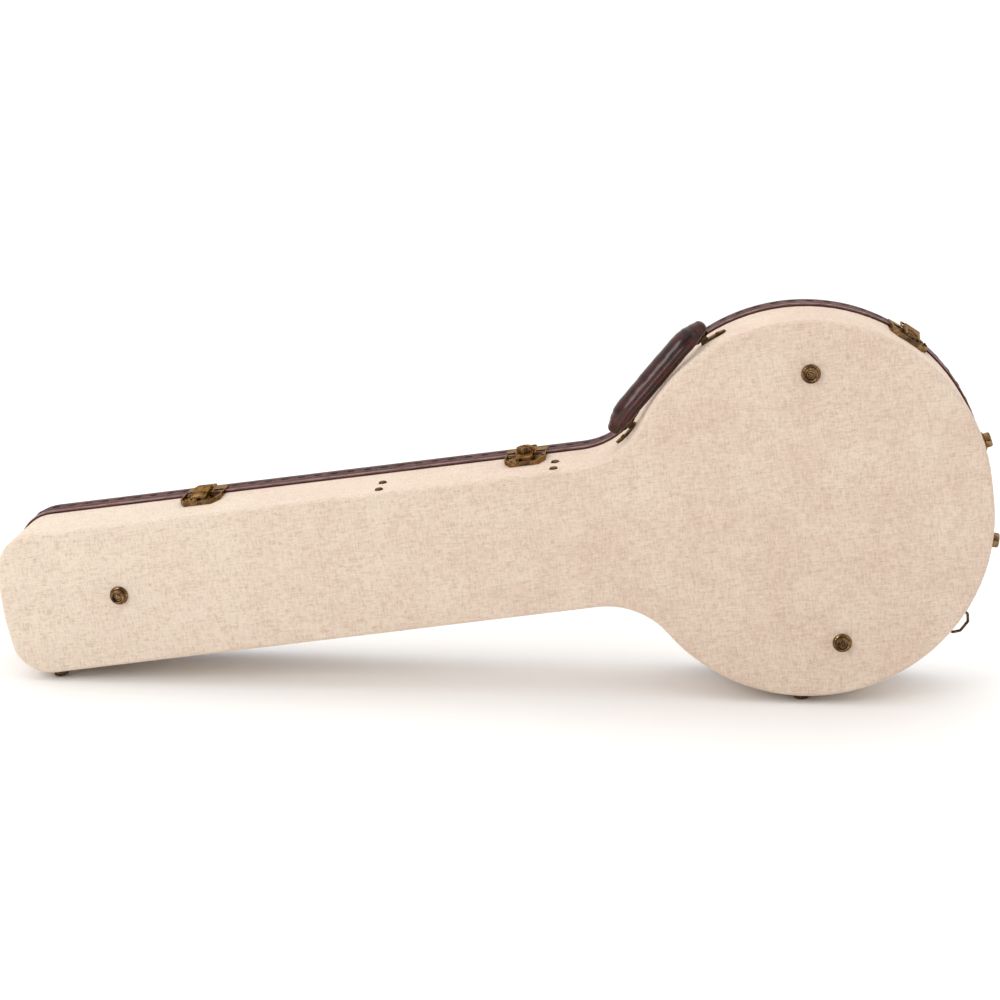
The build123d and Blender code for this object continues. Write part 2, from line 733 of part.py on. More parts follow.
# ---------------------------------------------------------------- assembly
def build():
    """Every node of the case, in case axes."""
    nodes = {
        "base_covering": base_covering(),
        "base_back_panel": base_back_panel(),
        "base_side_wall": base_side_wall(),
        "base_rim_bead": base_rim_bead(),
        "base_wall_lining": base_wall_lining(),
        "tongue_strip": tongue_strip(),
        "base_floor_pad": base_floor_pad(),
        "body_rim_pad": body_rim_pad(),
        "neck_cradle": cradle(-640, -610, 32, 78),
        "heel_block": cradle(-225, -195, 40, 84),
        "compartment_wall_outer": compartment_wall(BOX_X[0]),
        "compartment_wall_inner": compartment_wall(BOX_X[1]),
        "compartment_hinge_pin": compartment_hinge_pin(),
        "compartment_lid": compartment_lid(),
        "pull_tab": pull_tab(),
        "compartment_rivets": fitted(rivet(), rivet_places()),
        "back_feet": fitted(stud(), back_places()),
        "bottom_feet": fitted(stud(), bottom_places()),
        "end_feet": fitted(stud(), end_places()),
        "foot_nails": fitted(stud_nail(), back_places() + bottom_places() + end_places()),
        "lid_side_wall": lid_side_wall(),
        "lid_front_panel": lid_front_panel(),
        "lid_covering": lid_covering(),
        "lid_band": lid_band(),
        "lid_welt": lid_welt(),
        "lid_lining": lid_lining(),
        "hinge_leaves_base": hinge_leaves(-1),
        "hinge_leaves_lid": hinge_leaves(1),
        "hinge_pins": hinge_pins(),
        "handle_grip": handle_grip(),
        "handle_rings": handle_rings(),
        "handle_brackets": handle_brackets(),
        "handle_rivets": handle_rivets(),
        "strap_ring_bracket": strap_ring_bracket(),
        "strap_ring": strap_ring(),
    }
    for number, place in enumerate(latch_places(), 1):
        nodes[f"latch_{number}_plate"] = latch_plate(place)
        nodes[f"latch_{number}_lever"] = latch_lever(place, number == 2)
        nodes[f"latch_{number}_hook"] = latch_hook(place)
        nodes[f"latch_{number}_pin"] = latch_pin(place)
        nodes[f"latch_{number}_keeper"] = latch_keeper(place)
    nodes["latch_rivets"] = latch_rivets()
    nodes["lock_cylinder"] = lock_cylinder(latch_places()[1])
    return nodes


def standing(nodes):
    """Location that stands the case on its feet, centred on the origin."""
    bounds = Compound(children=[upright(shape) for shape in nodes.values()]).bounding_box()
    middle = bounds.center()
    return Pos(-middle.X, -middle.Y, -bounds.min.Z) * Rot(0, -TILT, 0)


def main():
    """Write one STEP file for each node."""
    os.makedirs("parts", exist_ok=True)
    nodes = build()
    place = standing(nodes)
    for name, shape in nodes.items():
        export_step(place * shape, f"parts/{name}.step")


if __name__ == "__main__":
    main()
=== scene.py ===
"""Looks of a hard-shell banjo case, built round its CAD frame."""

import json
from math import atan2, ceil, cos, hypot, pi, radians, sin, sqrt

import bmesh
import bpy
from mathutils import Matrix, Vector, noise

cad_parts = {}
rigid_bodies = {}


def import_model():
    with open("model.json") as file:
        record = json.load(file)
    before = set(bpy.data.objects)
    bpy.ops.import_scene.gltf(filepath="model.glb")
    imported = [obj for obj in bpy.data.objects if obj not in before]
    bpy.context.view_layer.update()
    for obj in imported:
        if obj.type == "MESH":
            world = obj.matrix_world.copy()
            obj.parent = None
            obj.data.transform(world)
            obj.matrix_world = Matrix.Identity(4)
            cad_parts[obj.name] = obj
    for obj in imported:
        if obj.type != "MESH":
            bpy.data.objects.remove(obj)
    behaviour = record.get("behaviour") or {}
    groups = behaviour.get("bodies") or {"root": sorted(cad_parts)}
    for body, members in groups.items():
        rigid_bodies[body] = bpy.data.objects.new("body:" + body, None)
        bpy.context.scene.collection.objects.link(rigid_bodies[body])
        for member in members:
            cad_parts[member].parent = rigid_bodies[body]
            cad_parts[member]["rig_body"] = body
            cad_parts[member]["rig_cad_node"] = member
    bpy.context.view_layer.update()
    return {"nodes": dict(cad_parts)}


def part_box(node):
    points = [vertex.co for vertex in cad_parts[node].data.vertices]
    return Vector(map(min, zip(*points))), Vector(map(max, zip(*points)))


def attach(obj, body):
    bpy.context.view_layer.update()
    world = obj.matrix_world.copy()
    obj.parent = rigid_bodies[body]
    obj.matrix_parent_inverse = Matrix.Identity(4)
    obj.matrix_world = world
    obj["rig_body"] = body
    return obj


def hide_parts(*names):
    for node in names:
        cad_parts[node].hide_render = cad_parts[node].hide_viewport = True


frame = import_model()

# Case axes, in millimetres, as in the CAD: X along the neck towards the round end, Y from the back
# face to the front, Z across towards the latch side. CASE turns them into the row frame, in metres,
# where the case stands tilted on its feet.
MM = 0.001
TILT = radians(8.582168)
CASE_ORIGIN = Vector((0.337875, -0.06525, 0.21308))
CASE = Matrix.Translation(CASE_ORIGIN) @ Matrix.Rotation(-TILT, 4, "Y") @ Matrix.Scale(MM, 4)

# Outline, seen from the back
BODY_R = 194.0
BODY_RISE = 10.7                # how far the body's arcs have their centre off the middle line
NECK_END_X = -883.0
NECK_HALF_END = 79.5
NECK_HALF_BODY = 76.5
CORNER_R = 42.0
END_BULGE_R = 300.0
FILLET_R = 85.0

# Distances out from the outline
WALL_IN = -6.0                  # inside face of the plywood
TRIM_IN = -0.9                  # where the lid's trims end, under the surface
BAND_PROUD = 3.0

# Depths from the back face
FLOOR_Y = 6.2                   # inside face of the back panel
LINING_TOP_Y = 92.6
LID_WALL_Y = (98.0, 131.0)      # plush wall of the lid
LID_INSIDE_Y = 132.9            # inside face of the front panel
BAND_Y = (97.4, 132.4)
WELT_Y = (132.4, 134.0)

TRIM_STEP = 5.0                 # spacing of the stations along trims and linings
LINING_STEP = 8.0

HANDLE_LOW = Vector((-176.31, 50.0, 108.62))
HANDLE_HIGH = Vector((-87.67, 50.0, 190.46))
HANDLE_DROOP = radians(62.0)


# ---------------------------------------------------------------- the case's outline
def upper_arcs():
    """Arcs of the outline's upper half, round end first: centre, radius, side, first and last normal."""
    sag = END_BULGE_R - sqrt(END_BULGE_R**2 - NECK_HALF_END**2)
    end_x = NECK_END_X + sag
    slope = (NECK_HALF_END - NECK_HALF_BODY) / end_x
    stretch = hypot(1, slope)
    wall = pi / 2 + slope

    # hollow corner, its centre on a line above the neck and at a distance from the body's middle
    b = NECK_HALF_BODY + FILLET_R * stretch - BODY_RISE
    reach = BODY_R + FILLET_R
    p = slope * b / (1 + slope**2)
    q = (b**2 - reach**2) / (1 + slope**2)
    hollow_x = -p - sqrt(p**2 - q)
    hollow = (hollow_x, b + slope * hollow_x + BODY_RISE)
    meet = atan2(hollow[1] - BODY_RISE, hollow[0])

    # corner at the neck's end, inside the line and the bulged end
    middle = NECK_END_X + END_BULGE_R
    b = NECK_HALF_BODY - CORNER_R * stretch + slope * middle
    reach = END_BULGE_R - CORNER_R
    p = slope * b / (1 + slope**2)
    q = (b**2 - reach**2) / (1 + slope**2)
    corner_x = -p - sqrt(p**2 - q)
    corner = (middle + corner_x, b + slope * corner_x)
    turn = atan2(corner[1], corner_x)
    return [
        ((0.0, BODY_RISE), BODY_R, 1, 0.0, meet),
        (hollow, FILLET_R, -1, meet, wall),
        (corner, CORNER_R, 1, wall, turn),
        ((middle, 0.0), END_BULGE_R, 1, turn, pi),
    ]


def outline_stations(step):
    """Closed list of (x, z, normal angle) round the outline, at most a step apart."""
    upper = [(BODY_R, 0.0, 0.0)]
    for centre, radius, side, start, end in upper_arcs():
        count = max(2, ceil(abs(end - start) * radius / step))
        arc = []
        for i in range(count + 1):
            angle = start + (end - start) * i / count
            x = centre[0] + side * radius * cos(angle)
            arc.append((x, centre[1] + side * radius * sin(angle), angle))
        corner = upper[-1]
        gap = hypot(arc[0][0] - corner[0], arc[0][1] - corner[1])
        fills = ceil(gap / step)
        for i in range(1, fills):
            x = corner[0] + (arc[0][0] - corner[0]) * i / fills
            z = corner[1] + (arc[0][1] - corner[1]) * i / fills
            upper.append((x, z, arc[0][2]))
        upper += arc if gap > 0.01 else arc[1:]
    lower = [(x, -z, -angle) for x, z, angle in reversed(upper[1:-1])]
    return upper + lower


def walk(spacing):
    """Equally spaced stations round the outline, as near to a spacing as a whole number allows."""
    loop = outline_stations(2.0)
    loop.append(loop[0])
    lengths = [0.0]
    for a, b in zip(loop, loop[1:]):
        lengths.append(lengths[-1] + hypot(b[0] - a[0], b[1] - a[1]))
    count = round(lengths[-1] / spacing)
    places = []
    index = 0
    for i in range(count):
        target = lengths[-1] * i / count
        while lengths[index + 1] < target:
            index += 1
        a, b = loop[index], loop[index + 1]
        share = (target - lengths[index]) / max(lengths[index + 1] - lengths[index], 1e-9)
        turn = (b[2] - a[2] + pi) % (2 * pi) - pi
        x = a[0] + (b[0] - a[0]) * share
        z = a[1] + (b[1] - a[1]) * share
        places.append((x, z, a[2] + turn * share))
    return places


def at(station, out, y):
    """Point at a distance outside the outline, at a depth."""
    x, z, angle = station
    return Vector((x + out * cos(angle), y, z + out * sin(angle)))


# ---------------------------------------------------------------- meshes
def make_piece(name, vertices, faces, place=CASE):
    """Smooth mesh object from points in case axes, with its place in its vertices."""
    mesh = bpy.data.meshes.new(name)
    mesh.from_pydata([place @ Vector(v) for v in vertices], [], faces)
    work = bmesh.new()
    work.from_mesh(mesh)
    bmesh.ops.recalc_face_normals(work, faces=work.faces)
    work.to_mesh(mesh)
    work.free()
    mesh.polygons.foreach_set("use_smooth", [True] * len(mesh.polygons))
    piece = bpy.data.objects.new(name, mesh)
    bpy.context.scene.collection.objects.link(piece)
    return piece


def ring_faces(rings, size, closed):
    """Quads between equal rings of points, one after the other, and from last to first if closed."""
    faces = []
    for i in range(rings if closed else rings - 1):
        for j in range(size):
            a, b = i * size + j, i * size + (j + 1) % size
            c, d = ((i + 1) % rings) * size + (j + 1) % size, ((i + 1) % rings) * size + j
            faces.append((a, b, c, d))
    return faces


def tube_faces(rings, size, start=0):
    """Faces of a closed tube: quads between its rings, and a cap at each end."""
    faces = [tuple(start + n for n in face) for face in ring_faces(rings, size, False)]
    last = start + (rings - 1) * size
    return faces + [tuple(range(start, start + size)), tuple(range(last, last + size))]


def swept(name, stations, profile):
    """A closed profile of (out, y) carried round stations: a list, or a function of the station."""
    vertices = []
    size = 0
    for station in stations:
        points = profile(station) if callable(profile) else profile
        size = len(points)
        vertices += [at(station, out, y) for out, y in points]
    return make_piece(name, vertices, ring_faces(len(stations), size, True))


def crowned_panel(name, stations, loops, underside):
    """Panel from rings of (out, y), its middle closed flat, with a flat underside at a depth."""
    vertices = []
    rings = [(loops[0][0], underside), *loops]
    for out, y in rings:
        vertices += [at(station, out, y) for station in stations]
    return make_piece(name, vertices, tube_faces(len(rings), len(stations)))


def half_round(out, y, radius, start, end, steps=6):
    """Arc of profile points round (out, y), from one angle to another, in degrees."""
    angles = [radians(start + (end - start) * i / steps) for i in range(steps + 1)]
    return [(out + radius * cos(a), y + radius * sin(a)) for a in angles]


# ---------------------------------------------------------------- materials
class Look:
    """A node material while it is wired up. Sizes are in metres, and colours are linear."""

    def __init__(self, name, roughness, metallic=0.0, **sockets):
        self.material = bpy.data.materials.new(name)
        self.material.use_nodes = True
        self.tree = self.material.node_tree
        self.shader = self.tree.nodes["Principled BSDF"]
        self.shader.inputs["Metallic"].default_value = metallic
        self.shader.inputs["Roughness"].default_value = roughness
        for socket, value in sockets.items():
            self.shader.inputs[socket.replace("_", " ")].default_value = value
        coords = self.tree.nodes.new("ShaderNodeTexCoord")
        turn = self.tree.nodes.new("ShaderNodeMapping")
        turn.inputs["Rotation"].default_value = (0, TILT, 0)
        self.tree.links.new(coords.outputs["Object"], turn.inputs["Vector"])
        self.place = turn.outputs["Vector"]
        self.normal = coords.outputs["Normal"]
        self.bumps = None

    def node(self, kind, settings=None, **inputs):
        """A node with its settings, its inputs linked or set. An input called _6 is number 6."""
        made = self.tree.nodes.new(kind)
        for key, value in (settings or {}).items():
            setattr(made, key, value)
        for key, value in inputs.items():
            place = int(key[1:]) if key[0] == "_" else key.replace("_", " ")
            if isinstance(value, bpy.types.NodeSocket):
                self.tree.links.new(value, made.inputs[place])
            else:
                made.inputs[place].default_value = value
        return made

    def noise(self, size, detail=2.0, rough=0.5, shift=0.0):
        """Noise whose features have a size in metres, the same or one for each case axis."""
        sizes = size if isinstance(size, tuple) else (size, size, size)
        place = self.node(
            "ShaderNodeMapping",
            Vector=self.place,
            Scale=tuple(1 / s for s in sizes),
            Location=(shift, shift, shift),
        )
        made = self.node(
            "ShaderNodeTexNoise",
            Vector=place.outputs["Vector"],
            Scale=1.0,
            Detail=detail,
            Roughness=rough,
        )
        return made.outputs["Fac"]

    def cells(self, size):
        """Distance to the nearest middle, in a cell pattern of a size in metres."""
        made = self.node("ShaderNodeTexVoronoi", Vector=self.place, Scale=1 / size)
        return made.outputs["Distance"]

    def window(self, value, low, high, to_low=0.0, to_high=1.0):
        """Value stretched so that low and high become other values, and clamped."""
        made = self.node("ShaderNodeMapRange", {"clamp": True}, Value=value)
        sockets = ("From Min", "From Max", "To Min", "To Max")
        for socket, number in zip(sockets, (low, high, to_low, to_high)):
            made.inputs[socket].default_value = number
        return made.outputs["Result"]

    def math(self, operation, a, b=0.0):
        """One arithmetic step."""
        return self.node("ShaderNodeMath", {"operation": operation}, _0=a, _1=b).outputs["Value"]

    def mix(self, factor, a, b):
        """Colour between a and b."""
        made = self.node("ShaderNodeMix", {"data_type": "RGBA"}, _0=factor, _6=a, _7=b)
        return made.outputs[2]

    def bump(self, height, depth):
        """Adds relief of a depth in metres."""
        made = self.node("ShaderNodeBump", Height=height, Distance=depth, Strength=1.0)
        if self.bumps is not None:
            self.tree.links.new(self.bumps, made.inputs["Normal"])
        self.bumps = made.outputs["Normal"]

    def finish(self, colour, roughness=None):
        """Connects colour, roughness and relief to the shader."""
        self.tree.links.new(colour, self.shader.inputs["Base Color"])
        if roughness is not None:
            self.tree.links.new(roughness, self.shader.inputs["Roughness"])
        if self.bumps is not None:
            self.tree.links.new(self.bumps, self.shader.inputs["Normal"])
        return self.material


def rgb(red, green, blue):
    """Linear colour from sRGB parts out of 255."""
    parts = []
    for part in (red, green, blue):
        share = part / 255
        parts.append(share / 12.92 if share <= 0.04045 else ((share + 0.055) / 1.055) ** 2.4)
    return (*parts, 1.0)


def woven(look, pitch):
    """Over-and-under height of a plain weave on whichever side the surface faces."""
    axes = look.node("ShaderNodeSeparateXYZ", Vector=look.place)
    facing = look.node("ShaderNodeSeparateXYZ", Vector=look.normal)
    waves = {}
    for axis in "XYZ":
        turned = look.math("MULTIPLY", axes.outputs[axis], pi / pitch)
        waves[axis] = look.math("SINE", turned)
    total = None
    for side, (a, b) in {"Y": "XZ", "Z": "XY", "X": "YZ"}.items():
        square = look.math("MULTIPLY", facing.outputs[side], facing.outputs[side])
        part = look.math("MULTIPLY", look.math("MULTIPLY", waves[a], waves[b]), square)
        total = part if total is None else look.math("ADD", total, part)
    return total


def linen():
    """Cream linen: uneven threads both ways, soft pink and straw patches, and a few dark slubs."""
    look = Look("linen", 0.88, Sheen_Weight=0.2, Sheen_Roughness=0.5, Specular_IOR_Level=0.2)
    look.shader.inputs["Sheen Tint"].default_value = rgb(255, 240, 226)

    # threads along the case, and across them: over the panels, or through the depth on the walls
    along = look.noise((0.008, 0.0015, 0.0015), 4.0, 0.7)
    across = look.noise((0.0015, 0.0015, 0.006), 4.0, 0.7, 4.0)
    depth = look.noise((0.0015, 0.006, 0.0015), 4.0, 0.7, 8.0)
    facing = look.node("ShaderNodeSeparateXYZ", Vector=look.normal)
    on_face = look.math("MULTIPLY", facing.outputs["Y"], facing.outputs["Y"])
    blend = look.node("ShaderNodeMix", {"data_type": "FLOAT"}, Factor=on_face, A=depth, B=across)
    threads = look.math("MULTIPLY", look.math("ADD", along, blend.outputs[0]), 0.5)

    # wide patches, and painted light: the neck end painted paler
    patches = look.window(look.noise(0.06, 3.0, 0.6), 0.36, 0.66)
    colour = look.mix(patches, rgb(221, 197, 178), rgb(228, 208, 188))
    # painted light: the colour grows paler towards the neck end, where light falls more strongly
    lengthwise = look.node("ShaderNodeSeparateXYZ", Vector=look.place).outputs["X"]
    colour = look.mix(look.window(lengthwise, -0.45, 0.15, 0.55, 0.0), colour, rgb(233, 219, 200))
    blush = look.window(look.noise(0.02, 3.0, 0.6, 3.0), 0.5, 0.72, 0.0, 0.3)
    colour = look.mix(blush, colour, rgb(222, 194, 178))

    # light and dark threads, flecks and slubs
    colour = look.mix(look.window(threads, 0.5, 0.66, 0.0, 0.7), colour, rgb(242, 226, 209))
    colour = look.mix(look.window(threads, 0.36, 0.5, 0.7, 0.0), colour, rgb(192, 163, 141))
    fleck = look.window(look.noise((0.006, 0.0013, 0.0013), 2.0, 0.5, 11.0), 0.73, 0.8, 0.0, 0.4)
    colour = look.mix(fleck, colour, rgb(166, 136, 110))
    slub = look.window(look.noise((0.008, 0.002, 0.002), 1.0, 0.5, 21.0), 0.83, 0.86, 0.0, 0.8)
    colour = look.mix(slub, colour, rgb(96, 70, 52))
    look.bump(woven(look, 0.00085), 0.00012)
    look.bump(threads, 0.0005)
    return look.finish(colour)


def plywood():
    """Pale plywood with long grain and darker glue lines through its depth."""
    look = Look("plywood_look", 0.55)
    grain = look.noise((0.06, 0.0016, 0.004), 5.0, 0.65)
    plies = look.noise((0.2, 0.0013, 0.2), 2.0, 0.4, 5.0)
    colour = look.mix(look.window(grain, 0.3, 0.7), rgb(196, 150, 100), rgb(226, 190, 142))
    colour = look.mix(look.window(plies, 0.48, 0.6, 0.0, 0.5), colour, rgb(148, 104, 64))
    look.bump(grain, 0.0002)
    return look.finish(colour, look.window(grain, 0.3, 0.7, 0.6, 0.45))


def leatherette():
    """Red-brown leatherette: pebble grain, creases and a rubbed, greyer surface."""
    look = Look("leatherette", 0.6, Specular_IOR_Level=0.1)
    pebbles = look.cells(0.0011)
    lighter_tone = look.window(look.noise(0.03, 4.0, 0.6), 0.42, 0.72)
    colour = look.mix(lighter_tone, rgb(76, 36, 32), rgb(106, 62, 56))
    colour = look.mix(look.window(pebbles, 0.35, 0.75, 0.0, 0.5), colour, rgb(46, 20, 18))
    scuff = look.window(look.noise((0.012, 0.0014, 0.0014), 3.0, 0.6, 9.0), 0.64, 0.76, 0.0, 0.4)
    colour = look.mix(scuff, colour, rgb(122, 84, 76))
    look.bump(look.window(pebbles, 0.1, 0.6, 1.0, 0.0), 0.00016)
    look.bump(look.noise(0.006, 3.0, 0.6, 2.0), 0.0004)
    wear = look.noise(0.012, 3.0, 0.6, 7.0)
    return look.finish(colour, look.window(wear, 0.35, 0.7, 0.45, 0.62))


def piping_leather():
    """Leatherette of the rolled edge, painted lighter as a painted highlight."""
    look = Look("piping_painted_highlight", 0.4, Coat_Weight=0.1, Coat_Roughness=0.3)
    # painted highlight: the piping's colour runs up to the light colour of a gloss highlight
    lighter_tone = look.window(look.noise((0.02, 0.003, 0.003), 4.0, 0.65), 0.38, 0.68)
    colour = look.mix(lighter_tone, rgb(98, 62, 56), rgb(164, 132, 124))
    look.bump(look.noise(0.0012), 0.0002)
    return look.finish(colour)


def handle_leather():
    """Polished red-brown leather with fine creases and darker handled patches."""
    look = Look("polished_leather", 0.3, Coat_Weight=0.4, Coat_Roughness=0.2, Specular_IOR_Level=0.25)
    pores = look.cells(0.0007)
    creases = look.noise((0.02, 0.0022, 0.0022), 5.0, 0.7, 1.0)
    patches = look.window(look.noise(0.016, 4.0, 0.6), 0.35, 0.7)
    colour = look.mix(patches, rgb(34, 7, 3), rgb(80, 20, 9))
    colour = look.mix(look.window(creases, 0.5, 0.68, 0.0, 0.6), colour, rgb(22, 7, 4))
    colour = look.mix(look.window(pores, 0.4, 0.8, 0.0, 0.4), colour, rgb(20, 6, 4))
    look.bump(creases, 0.00003)
    look.bump(look.window(pores, 0.1, 0.6, 1.0, 0.0), 0.00002)
    wear = look.noise(0.007, 3.0, 0.6, 5.0)
    return look.finish(colour, look.window(wear, 0.3, 0.7, 0.24, 0.34))


def thread():
    """Dark waxed thread, twisted."""
    look = Look("waxed_thread", 0.6, Specular_IOR_Level=0.2)
    twist = look.noise(0.0009)
    colour = look.mix(look.window(twist, 0.35, 0.65), rgb(12, 6, 6), rgb(34, 18, 17))
    look.bump(twist, 0.0003)
    return look.finish(colour)


def metal(name, dark, bright, edge, roughness):
    """Aged metal: dark patina in soft patches, rubbed lighter, with fine pits and scratches."""
    smooth, dull = roughness
    look = Look(name, smooth, 1.0)
    # tints what the metal mirrors at a shallow angle
    look.shader.inputs["Specular Tint"].default_value = rgb(212, 190, 168)
    patches = look.noise(0.009, 4.0, 0.55)
    fine = look.noise((0.0032, 0.0006, 0.0006), 3.0, 0.6, 3.0)
    colour = look.mix(look.window(patches, 0.36, 0.66), dark, bright)
    colour = look.mix(look.window(fine, 0.58, 0.72, 0.0, 0.6), colour, edge)
    pits = look.window(look.noise(0.0009, 2.0, 0.5, 6.0), 0.6, 0.72, 0.0, 0.55)
    colour = look.mix(pits, colour, dark)
    look.bump(patches, 0.00012)
    look.bump(fine, 0.00006)
    return look.finish(colour, look.window(patches, 0.35, 0.7, dull, smooth))


def brass():
    """Brass, aged brown."""
    return metal("aged_brass", rgb(66, 48, 33), rgb(146, 114, 78), rgb(246, 220, 172), (0.18, 0.32))


def bronze():
    """Darker bronze."""
    return metal("bronze_patina", rgb(50, 36, 27), rgb(106, 82, 58), rgb(204, 172, 132), (0.22, 0.34))


def steel():
    """Rubbed steel."""
    return metal("rubbed_steel", rgb(96, 90, 82), rgb(164, 156, 144), rgb(214, 208, 198), (0.28, 0.42))


def plush():
    """Wine-coloured short pile, brushed this way and that."""
    look = Look("plush_pile", 0.95, Sheen_Weight=0.9, Sheen_Roughness=0.35, Specular_IOR_Level=0.2)
    look.shader.inputs["Sheen Tint"].default_value = rgb(226, 140, 146)
    brushed = look.noise(0.035, 4.0, 0.6)
    pile = look.noise(0.0011, 3.0, 0.7, 2.0)
    colour = look.mix(look.window(brushed, 0.35, 0.68), rgb(74, 14, 22), rgb(120, 30, 38))
    colour = look.mix(look.window(pile, 0.4, 0.66, 0.0, 0.6), colour, rgb(46, 8, 14))
    look.bump(pile, 0.0007)
    look.bump(brushed, 0.0015)
    return look.finish(colour)


def ribbon():
    """Ribbed dark ribbon."""
    look = Look("ribbon_weave", 0.6, Sheen_Weight=0.3)
    ribs = look.noise((0.0005, 0.02, 0.02), 1.0)
    colour = look.mix(look.window(ribs, 0.35, 0.65), rgb(70, 20, 20), rgb(112, 44, 38))
    look.bump(ribs, 0.0003)
    return look.finish(colour)


looks = {
    "cream_cloth": linen(),
    "plywood": plywood(),
    "dark_leatherette": leatherette(),
    "plush": plush(),
    "antique_brass": brass(),
    "handle_leather": handle_leather(),
    "dark_bronze": bronze(),
    "ribbon": ribbon(),
    "worn_steel": steel(),
    "thread": thread(),
    "piping": piping_leather(),
}
METALS = ("antique_brass", "dark_bronze", "worn_steel")
ROUNDED = (*METALS, "plush", "plywood")
METAL_EDGE = 0.0003             # broken edges, in metres
SOFT_EDGE = 0.0009
WELD_GAP = 0.00001


def dress(piece, look, body, *nodes):
    """Gives a piece its material and its body, and hides the CAD nodes that it stands for."""
    piece.data.materials.clear()
    piece.data.materials.append(looks[look])
    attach(piece, body)
    if nodes:
        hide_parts(*nodes)


def dress_frame():
    """Materials on every CAD node, and broken edges on the metal, plush and plywood."""
    for node in frame["nodes"].values():
        slot = node.data.materials[0].name.split(".")[0]
        node.data.materials[0] = looks[slot]
        if slot in ROUNDED:
            weld = node.modifiers.new("weld", "WELD")
            weld.merge_threshold = WELD_GAP
            bevel = node.modifiers.new("edges", "BEVEL")
            bevel.width = METAL_EDGE if slot in METALS else SOFT_EDGE
            bevel.segments = 2
            bevel.limit_method = "ANGLE"
            bevel.angle_limit = radians(35)
            bevel.harden_normals = True


# ---------------------------------------------------------------- lid: band, stitches, piping
PIPING_W = 3.4
BAND_MIDDLE = (BAND_Y[0] + PIPING_W + BAND_Y[1]) / 2 - 0.2
# shares of the band's width where its profile has a point, closer at the edges and the groove
BAND_EDGE = (0.0, 0.03, 0.08, 0.2, 0.32)
BAND_GROOVE = (0.4, 0.43, 0.47, 0.5)
GROOVE_DEPTH = 0.5
GROOVE_HALF = 0.09
STITCH_PITCH = 19.0
STITCH_LENGTH = 11.5
STITCH_HALF_W = 1.9
STITCH_TIP_HALF_W = 0.12
STITCH_FLAT = 0.45              # its height over its width
STITCH_OUT = 2.6                # middle of a stitch, from the outline
STITCH_SINK = 1.6               # how far its ends are pulled in


def band_profile(station):
    """Padded strip with a groove for the stitches, between its two rolled edges."""
    uneven = 0.25 * noise.noise(Vector((station[0] * 0.02, 0, station[1] * 0.02)))
    low, high = BAND_Y[0] + PIPING_W, BAND_Y[1]
    points = [(TRIM_IN, low - 1.0), (1.0, low - 1.0)]
    lower_half = (*BAND_EDGE, *BAND_GROOVE)
    upper_half = [1 - share for share in reversed(lower_half[:-1])]
    for share in (*lower_half, *upper_half):
        crown = 1 - (2 * share - 1) ** 6
        groove = GROOVE_DEPTH * max(0.0, 1 - (abs(share - 0.5) / GROOVE_HALF) ** 2)
        out = 1.5 + 1.3 * crown + uneven * crown - groove
        points.append((min(out, BAND_PROUD), low + (high - low - 0.4) * share))
    points += [(0.6, high - 0.1), (TRIM_IN, high)]
    return points


def lid_band():
    """Padded leatherette band, and the piping between it and the seam."""
    piece = swept("band", outline_stations(TRIM_STEP), band_profile)
    dress(piece, "dark_leatherette", "lid", "lid_band")
    low, high = BAND_Y[0], BAND_Y[0] + PIPING_W
    rounded = half_round(1.3, (low + high) / 2, 1.6, -80, 80, 10)
    profile = [(TRIM_IN, low), *rounded, (TRIM_IN, high)]
    dress(swept("seam_piping", outline_stations(TRIM_STEP), profile), "piping", "lid")


def band_stitches():
    """Long stitches along the band's groove, their ends pulled into it."""
    vertices = []
    faces = []
    sides = 8
    rows = 7
    depthwise = Vector((0, 1, 0))
    for station in walk(STITCH_PITCH):
        angle = station[2]
        along = Vector((sin(angle), 0, -cos(angle)))
        out = Vector((cos(angle), 0, sin(angle)))
        faces += tube_faces(rows, sides, len(vertices))
        for i in range(rows):
            share = 2 * i / (rows - 1) - 1
            width = STITCH_HALF_W * sqrt(max(1 - share**4, 0.0)) + STITCH_TIP_HALF_W
            height = STITCH_FLAT * width
            middle = at(station, STITCH_OUT - STITCH_SINK * share**4, BAND_MIDDLE)
            middle += along * share * STITCH_LENGTH / 2
            for j in range(sides):
                turn = 2 * pi * j / sides
                vertices.append(middle + depthwise * width * cos(turn) + out * height * sin(turn))
    dress(make_piece("band_stitches", vertices, faces), "thread", "lid")


def lid_welt():
    """Corded piping between the band and the front."""
    rounded = half_round(0.75, 133.15, 0.95, -60, 90)
    profile = [(TRIM_IN, WELT_Y[0]), *rounded, (TRIM_IN, WELT_Y[1])]
    piece = swept("front_piping", outline_stations(TRIM_STEP), profile)
    dress(piece, "dark_leatherette", "lid", "lid_welt")


# ---------------------------------------------------------------- handle
GRIP_HALF = 75.5
GRIP_LOW = 22.0                 # its middle line at the ends, above the swing axis
GRIP_HIGH = 34.0
GRIP_HALF_W = 12.4
GRIP_HALF_T = 10.0
RIDGE_TURN = radians(130)       # where the sewn ridge runs, round the section
RIDGE_PROUD = 1.0
VALLEY_DEPTH = 0.7
CREASE_DEPTH = 0.3


def handle_place():
    """Handle frame in its drooped position: x along the swing axis, z out from the wall."""
    along = (HANDLE_HIGH - HANDLE_LOW).normalized()
    out = along.cross(Vector((0, 1, 0)))
    across = out.cross(along)
    turn = Matrix((along, across, out)).transposed().to_4x4()
    middle = (HANDLE_LOW + HANDLE_HIGH) / 2
    return CASE @ Matrix.Translation(middle) @ turn @ Matrix.Rotation(HANDLE_DROOP, 4, "X")


def grip_point(share):
    """Point of the grip's middle line, from -1 to 1: level in the middle and lower at the ends."""
    flat = 1 - max(0.0, (abs(share) - 0.55) / 0.45) ** 1.6
    return Vector((share * GRIP_HALF, 0, GRIP_LOW + (GRIP_HIGH - GRIP_LOW) * flat))


